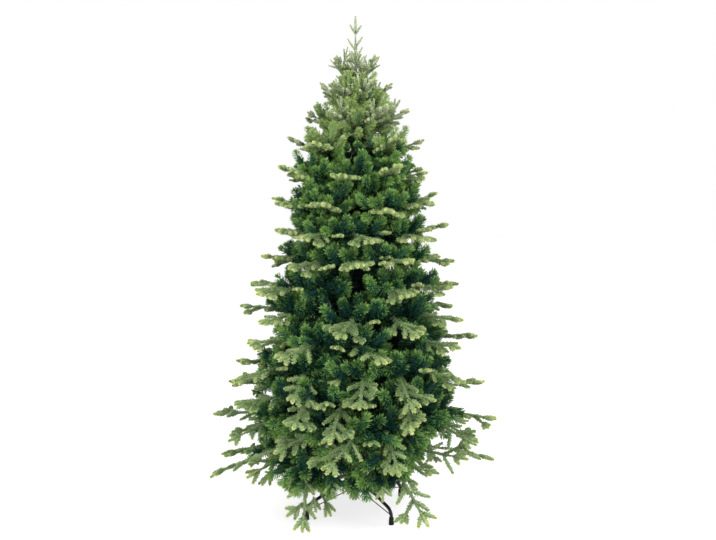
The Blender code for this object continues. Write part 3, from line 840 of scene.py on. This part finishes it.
FILM_GLOSS = ((0.60, 0.15), (0.55, 0.15), (0.50, 0.25), (0.46, 0.30))
# One film green in four tones, from painted deep shade to painted highlight, each drifting a little over
# the tree.
tinsel_levels = needle_finishes(FILM_GLOSS, (
    ("tinsel_deep_green", (0.002, 0.022, 0.019), (0.005, 0.038, 0.026)),
    ("tinsel_dark_green", (0.009, 0.052, 0.027), (0.020, 0.082, 0.036)),
    ("tinsel_mid_green", (0.044, 0.128, 0.040), (0.070, 0.176, 0.052)),
    ("tinsel_light_green", (0.132, 0.258, 0.058), (0.185, 0.330, 0.082)),
))
# The same four tones of painted shade and highlight, in yellower greens, for the tips near the top.
high_tinsel_levels = needle_finishes(FILM_GLOSS, (
    ("high_tinsel_deep", (0.012, 0.050, 0.034), (0.022, 0.072, 0.042)),
    ("high_tinsel_dark", (0.048, 0.118, 0.054), (0.072, 0.158, 0.068)),
    ("high_tinsel_olive", (0.125, 0.215, 0.076), (0.170, 0.268, 0.094)),
    ("high_tinsel_yellow", (0.235, 0.335, 0.105), (0.300, 0.400, 0.140)),
))
# Needles on each tip, and their width: fewer and wider ones where others hide them.
INSIDE_NEEDLES, OUTSIDE_NEEDLES, HIGH_NEEDLES = (68, 0.0052), (120, 0.0039), (112, 0.0033)
tinsel_rng = np.random.default_rng(SEED)
low_tips = [tip for tip in tinsel if tip[0][2] < YELLOWER_ABOVE]
high_tips = [tip for tip in tinsel if tip[0][2] >= YELLOWER_ABOVE]
inside = brushes([tip for tip in low_tips if hidden(tip)], *INSIDE_NEEDLES, tinsel_rng)
outside = brushes([tip for tip in low_tips if not hidden(tip)], *OUTSIDE_NEEDLES, tinsel_rng)
deal_out((*inside, *outside), tinsel_levels, 0.18)
deal_out(brushes(high_tips, *HIGH_NEEDLES, tinsel_rng), high_tinsel_levels, 0.10)

# ---- moulded sprays
# Limbs end in sprays moulded in solid polyethylene: a needled stalk with three fingers at its end,
# and fingers and three-fingered branches further back, all ringed by short needles. They are given
# four tones of one green, palest at the fingers' ends, as painted highlight, and darker towards the
# stalks and roots, as painted shade. Four greyer ones are used near the top.
FINGER_NEEDLES = 42
STALK_NEEDLES = 66
FINGER_NEEDLE = 0.0165
FINGER_CORE = (0.0046, 0.0050)
MIDDLE_FINGER, SIDE_FINGER, LONE_FINGER = 0.064, 0.054, 0.070
BRANCH = 0.104
SPRAY_FORKS = (0.106, 0.158)
STALK_FOOT, STALK_END = 0.215, 0.040
LEADER_SPLAY = 0.58
GREYER_ABOVE = 1.34


def ridged_kites(roots, ways, lengths, widths, across, lift):
    """A folded kite for each needle, as its two inner and its two outer triangles: root, left and
    right corners and a raised ridge point between them at 0.6 of its length, and its point."""
    middle = roots + ways * (lengths * 0.6)[..., None]
    half = across * (widths / 2)[..., None]
    ridge = middle + lift * (widths * 0.5)[..., None]
    left, right, point = middle - half, middle + half, roots + ways * lengths[..., None]
    inner = np.stack((roots, right, ridge, roots, ridge, left), axis=-2)
    outer = np.stack((right, point, ridge, ridge, point, left), axis=-2)
    return inner.reshape(-1, 3, 3), outer.reshape(-1, 3, 3)


def finger_needles(fingers, count, taper, draws):
    """((triangles, tones), ...) of the needles and cores of many fingers. The needles lean 56 degrees
    at a finger's root, where they are shorter by the taper, and 35 at its end, where they are
    shorter by 0.30 and the last 0.18 of them close its point."""
    roots, ways, overs, lengths, sizes, painted_tones = map(np.array, zip(*fingers))
    share, _, needle_ways = wound(ways, overs, count, 0.82, (56, 35), 0.8, (0.3, 4), 0.85, draws)
    shape = share.shape
    reach = np.maximum(lengths - 0.58 * FINGER_NEEDLE * sizes, 0.006)
    starts = roots[:, None] + ways[:, None] * (reach[:, None] * share)[..., None]
    needle = FINGER_NEEDLE * sizes[:, None] * (1 - taper * np.exp(-share / 0.14)) * (1 - 0.30 * share**2)
    needle = needle * draws.uniform(0.90, 1.04, shape)
    across = unit(np.cross(needle_ways, ways[:, None]) + 1e-9)
    widths = 0.0016 + 0.0029 * np.broadcast_to(sizes[:, None], shape)
    # Needles are painted paler towards a finger's end and on their outer halves, as highlight, and darker
    # at their roots, as shade.
    tones = np.repeat(painted_tones[:, None] + 0.42 * (share - 0.60) + draws.normal(0, 0.06, shape), 2)
    inner, outer = ridged_kites(starts, needle_ways, needle, widths, across, np.cross(across, needle_ways))
    swells = [core * sizes for core in FINGER_CORE]
    cores = spindles(roots, ways, lengths * 0.94, np.zeros(len(fingers)), swells, 5)
    # The cores are painted a little darker than their needles, as shade.
    core_tones = np.repeat(painted_tones - 0.10, len(cores) // len(fingers))
    return (inner, tones - 0.10), (outer, tones + 0.05), (cores, core_tones)


# Fingers and stalks are all given as (root, way, upper side, length, size, tone of painted light and
# shade).
fingers, stalks = [], []


def splayed(way, over, hand, angle, tilt):
    """Unit vector at an angle to a way, to one hand of it and tilted towards its upper side."""
    out = hand * unit(np.cross(way, over)) + tilt * over
    return unit(math.cos(math.radians(angle)) * way + math.sin(math.radians(angle)) * out)


def three_fingers(end, way, over, new, size, painted_tone, rng):
    """A middle finger that ends at a point, and one to each hand of it, painted a little darker, as shade.
    """
    fingers.append((end - way * MIDDLE_FINGER * new, way, over, MIDDLE_FINGER * new, size, painted_tone))
    for hand in (-1, 1):
        root = end - way * (0.058 + rng.uniform(-0.010, 0.008)) * new
        aim = splayed(way, over, hand, rng.uniform(26, 46), rng.uniform(-0.35, 0.20))
        length = SIDE_FINGER * new * rng.uniform(0.80, 1.1)
        fingers.append((root, aim, over, length, size * 0.95, painted_tone - 0.07))


def grow_spray(end, way, over, new, size, painted_tone, rng):
    """A moulded spray that ends at a point: three fingers, and further back two pairs of one finger
    and one more, which is a three-fingered branch where the spray is large enough. Fingers further
    back are painted darker, as shade."""
    three_fingers(end, way, over, new, size, painted_tone, rng)
    forked = rng.choice((-1, 1))
    for back, fork in zip(SPRAY_FORKS, (forked, -forked)):
        for hand in (-1, 1):
            root = end - way * (back + rng.uniform(-0.010, 0.010)) * new
            aim = splayed(way, over, hand, rng.uniform(32, 60), rng.uniform(-0.50, 0.10))
            if hand == fork and new > 0.60 and (back < 0.15 or new < 0.82):
                length = BRANCH * new * rng.uniform(0.72, 1.12)
                three_fingers(root + aim * length, aim, over, new * 0.80, size * 0.92, painted_tone - 0.10, rng)
                stalks.append((root, aim, over, length * 0.62, size * 0.78, 0.42))
            else:
                length = LONE_FINGER * new * rng.uniform(0.68, 1.22)
                fingers.append((root, aim, over, length, size * 0.95, painted_tone - 0.16))
    foot = end - way * STALK_FOOT * new
    stalks.append((foot, way, over, (STALK_FOOT - STALK_END) * new, size * 0.88, 0.42))


# How far the spray at the end of each limb of the lowest ring droops, and how it turns, in order.
LOW_BENDS = (
    (0.10, 0.0), (0.10, 0.0), (0.10, 0.0), (-0.12, 0.0), (-0.25, 0.10), (0.66, 0.16), (-0.40, 0.0),
    (0.02, 0.20), (-0.24, -0.12),
)
for ring, number, order, path in limbs:
    rng = limb_draws(9000, ring, number, order)
    length = limb_length(path)
    new = (1 - SPRAY_SHRINK * ring_share(ring)) * (rng.uniform(0.86, 1.06) if ring else 1)
    size = 1.24 - 0.60 * ring_share(ring) ** 4
    painted_tone = 0.62 + 0.06 * ring_share(ring) ** 4 + rng.uniform(-0.08, 0.06)
    straight = unit(path[-1] - path[-3])
    frontal = abs(path[-1][1]) / ring_reach(ring)
    hanging = max(0.0, 1 - ring / 8) * frontal**2
    droop = rng.uniform(-0.16, 0.02) + rng.uniform(0.12, 0.45) * frontal + rng.uniform(0.05, 0.85) * hanging
    bend = rng.uniform(-0.10, 0.10) + rng.uniform(-0.85, 0.85) * hanging
    if ring == 0:
        droop, bend = LOW_BENDS[number * 3 + order]
        reached = 1 - SPRAY_STALK * new / length
        for share in (reached - 0.16, reached - 0.32):
            root, way = along_path(path, share)
            stalks.append((root, way, upper_side(way), 0.20 * length, size * 0.70, 0.30))
    elif not sprayed(ring, number, order):
        continue
    level_way = straight * (1.0, 1.0, 0.0)
    turned_way = math.cos(bend) * level_way + math.sin(bend) * level_left(straight)
    way = unit(turned_way + (straight[2] - droop) * up_way)
    end = path[-1] + SPRAY_STALK * new * (way - straight)
    azimuth = math.atan2(path[-1][1], path[-1][0])
    roll = rng.uniform(-0.22, 0.22) - 0.55 * max(0.0, 1 - ring / 9) * math.sin(2 * azimuth)
    over = math.cos(roll) * upper_side(way) + math.sin(roll) * level_right(way)
    grow_spray(end, way, over, new, size, painted_tone, rng)
    if ring >= MOULDED_RING:
        count = int(0.62 * length / (0.015 if ring < RINGS - 1 else 0.026))
        for i in range(count):
            root, way = along_path(path, 0.16 + 0.5 * (i + rng.uniform(0.2, 0.8)) / count)
            turn = i * GOLDEN + rng.uniform(-0.3, 0.3)
            out = math.cos(turn) * level_right(way) + math.sin(turn) * upper_side(way)
            aim = unit(0.62 * way + 0.62 * out + 0.40 * up_way)
            if i % 3 == 0:
                three_fingers(root + aim * 0.078, aim, over, 0.86, size * 0.88, painted_tone - 0.04, rng)
                stalks.append((root, aim, over, 0.044, size * 0.74, 0.40))
            else:
                fingers.append((root, aim, over, rng.uniform(0.044, 0.064), size * 0.88, painted_tone - 0.10))
        stalks.append((path[0], unit(path[-3] - path[0]), over, 0.8 * length, size * 0.8, 0.36))

# Some of the outer side twigs end in three fingers too.
for number, (ring, at, path) in enumerate(twigs):
    rng = random.Random(SEED * 8000 + number)
    if ring < MOULDED_RING and at > 0.36 and rng.random() < 0.40:
        way = unit(unit(path[-1] - path[-2]) - (0.0 if ring else 0.5) * up_way)
        new, size = 0.85 - 0.3 * ring_share(ring), 0.92 - 0.3 * ring_share(ring) ** 2
        three_fingers(path[-1] + way * 0.075, way, upper_side(way), new, size, 0.54, rng)

# Three-fingered branches hang from the limbs of the lowest ring, given by share along the limb, hand,
# reach and fall. The limbs of its right bough carry only the first.
HANGING_BRANCHES = ((0.38, -1, 0.130, 0.65), (0.48, 1, 0.120, 0.65), (0.46, -1.6, 0.178, 1.6))
for ring, number, order, path in limbs[: 3 * RING_BOUGHS[0]]:
    rng = limb_draws(4000, ring, number, order)
    for share, hand, reach, fall in HANGING_BRANCHES[: 1 if number == 2 else 3]:
        root, way = along_path(path, share + rng.uniform(-0.03, 0.03))
        out = 0.7 * hand * level_right(way)
        aim = unit(0.7 * way + out - rng.uniform(0.85, 1.15) * fall * up_way)
        over = upper_side(aim)
        three_fingers(root + aim * reach, aim, over, 0.92, 1.12, 0.56, rng)
        stalks.append((root, aim, over, reach - 0.035, 0.92, 0.44))

# Long moulded arms leave a limb of the two lowest rings, given by ring, bough, limb and share along
# it, and end at a point that is given by its reach, azimuth in degrees and height.
for ring, number, order, share, reach, azimuth, height, new in (
    (1, 3, 1, 0.72, 0.533, -159, 0.190, 0.90), (1, 1, 1, 0.72, 0.520, 21, 0.190, 0.90),
    (0, 2, 1, 0.42, 0.390, -43, 0.212, 0.80), (0, 0, 1, 0.42, 0.390, 77, 0.212, 0.80),
):
    rng = limb_draws(2000, ring, number, order)
    path = next(limb[3] for limb in limbs if limb[:3] == (ring, number, order))
    root = along_path(path, share)[0]
    end = reach * outwards(math.radians(azimuth)) + height * up_way
    way = unit(end - root)
    over = upper_side(way)
    grow_spray(end, way, over, new, 1.10, 0.60, rng)
    half = (float(np.linalg.norm(end - root)) - 0.18 * new) / 2
    stalks.append((root, way, over, half + 0.01, 1.16, 0.46))
    stalks.append((root + way * half, way, over, half, 1.16, 0.46))

# The leader on the pole's end is one more spray, upright, with slim fingers turned about its stalk.
for back, reach, turn in (
    (0.066, 0.040, 0.3), (0.064, 0.038, 3.3), (0.112, 0.046, 0.1), (0.124, 0.054, 3.0), (0.132, 0.044, 1.4),
    (0.142, 0.048, 4.6), (0.152, 0.052, 0.5), (0.162, 0.050, 2.5), (0.170, 0.050, 5.4), (0.176, 0.052, 3.9),
    (0.182, 0.054, 1.2), (0.190, 0.054, 6.1), (0.196, 0.056, 3.2),
):
    out = outwards(turn)
    aim = unit(up_way * math.cos(LEADER_SPLAY) + out * math.sin(LEADER_SPLAY))
    fingers.append((up_way * (TREE_HEIGHT - back), aim, np.cross(up_way, out), reach, 0.60, 0.62))
front = np.array((0.0, -1.0, 0.0))
fingers.append((up_way * (TREE_HEIGHT - MIDDLE_FINGER), up_way, front, MIDDLE_FINGER, 0.76, 0.62))
stalks.append((up_way * (POLE_TOP + 0.01), up_way, front, 0.160, 0.56, 0.50))
leader_tape = mottled_finish(
    "leader_grey_tape", (0.080, 0.095, 0.060), (0.140, 0.160, 0.105), 90.0, roughness=0.60, rougher=0.15,
    grain=(500.0, 0.0003),
)
leader_path = [up_way * height for height in (POLE_TOP - 0.01, POLE_TOP + 0.08, TREE_HEIGHT - 0.012)]
leader = swept(leader_path, (0.0046, 0.0032, 0.0012), 10, (1.0, 0.0, 0.0))
piece("leader_wire", [leader], leader_tape)

MOULDED_GLOSS = ((0.50, 0.30), (0.46, 0.30), (0.42, 0.40), (0.40, 0.40))
# One moulded green in four tones, from darker stalks and roots, as painted shade, to the fingers' ends, as
# painted highlight.
spray_levels = needle_finishes(MOULDED_GLOSS, (
    ("spray_olive_green", (0.088, 0.145, 0.054), (0.125, 0.185, 0.074)),
    ("spray_grey_green", (0.170, 0.250, 0.100), (0.225, 0.305, 0.130)),
    ("spray_pale_green", (0.300, 0.390, 0.135), (0.370, 0.450, 0.172)),
    ("spray_yellow_ends", (0.430, 0.490, 0.175), (0.530, 0.570, 0.225)),
))
# The same four tones of painted shade and highlight, in greyer tints, for the top.
top_levels = needle_finishes(MOULDED_GLOSS, (
    ("top_olive_green", (0.130, 0.180, 0.085), (0.170, 0.220, 0.110)),
    ("top_grey_green", (0.220, 0.280, 0.150), (0.280, 0.340, 0.190)),
    ("top_silver_green", (0.340, 0.400, 0.225), (0.410, 0.465, 0.275)),
    ("top_pale_ends", (0.500, 0.540, 0.310), (0.570, 0.600, 0.360)),
))
spray_rng = np.random.default_rng(SEED + 1)
spray_pieces = []
for levels, lowest, highest in ((spray_levels, 0.0, GREYER_ABOVE), (top_levels, GREYER_ABOVE, TREE_HEIGHT)):
    some_fingers = [finger for finger in fingers if lowest <= finger[0][2] < highest]
    some_stalks = [stalk for stalk in stalks if lowest <= stalk[0][2] < highest]
    finger_parts = finger_needles(some_fingers, FINGER_NEEDLES, 0.55, spray_rng)
    stalk_parts = finger_needles(some_stalks, STALK_NEEDLES, 0.20, spray_rng)
    spray_pieces += deal_out((*finger_parts, *stalk_parts), levels, 0.16)
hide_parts("leader", *bough_names)

# ---- studio
# A plain pale floor without an edge in view, a white room, and four soft lights: a broad one from
# the front and above, weaker ones from the left and right, and one behind to lift the edges.
floor_finish = bpy.data.materials.new("studio_floor")
floor_finish.use_nodes = True
floor_shader = floor_finish.node_tree.nodes["Principled BSDF"]
put_in(floor_shader, Base_Color=(0.40, 0.40, 0.40, 1), Roughness=0.9)
put_in(floor_shader, Emission_Color=(1, 1, 1, 1), Emission_Strength=0.66)
floor_mesh = bpy.data.meshes.new("studio_floor")
floor_mesh.from_pydata([(-30, -30, 0), (30, -30, 0), (30, 30, 0), (-30, 30, 0)], [], [(0, 1, 2, 3)])
floor_mesh.materials.append(floor_finish)
floor = bpy.data.objects.new("studio_floor", floor_mesh)
scene.collection.objects.link(floor)
world = bpy.data.worlds.new("studio_room")
world.use_nodes = True
put_in(world.node_tree.nodes["Background"], Color=(1, 1, 1, 1), Strength=1.0)
scene.world = world
for name, place, aim, size, power in (
    ("front_light", (1.2, -3.4, 3.4), (0, 0, 0.9), 2.2, 150.0),
    ("left_light", (-3.2, -1.6, 2.2), (0, 0, 0.9), 2.0, 95.0),
    ("right_light", (3.5, -0.2, 2.0), (0, 0, 0.9), 2.0, 60.0),
    ("back_light", (0.5, 3.4, 3.0), (0, 0, 1.0), 2.4, 60.0),
):
    light = bpy.data.lights.new(name, "AREA")
    light.size = size
    light.energy = power
    holder = bpy.data.objects.new(name, light)
    holder.location = place
    way = np.array(aim, float) - np.array(place, float)
    level = math.hypot(way[0], way[1])
    holder.rotation_euler = (math.atan2(level, -way[2]), 0.0, math.atan2(-way[0], way[1]))
    scene.collection.objects.link(holder)
scene.view_settings.view_transform = "Standard"
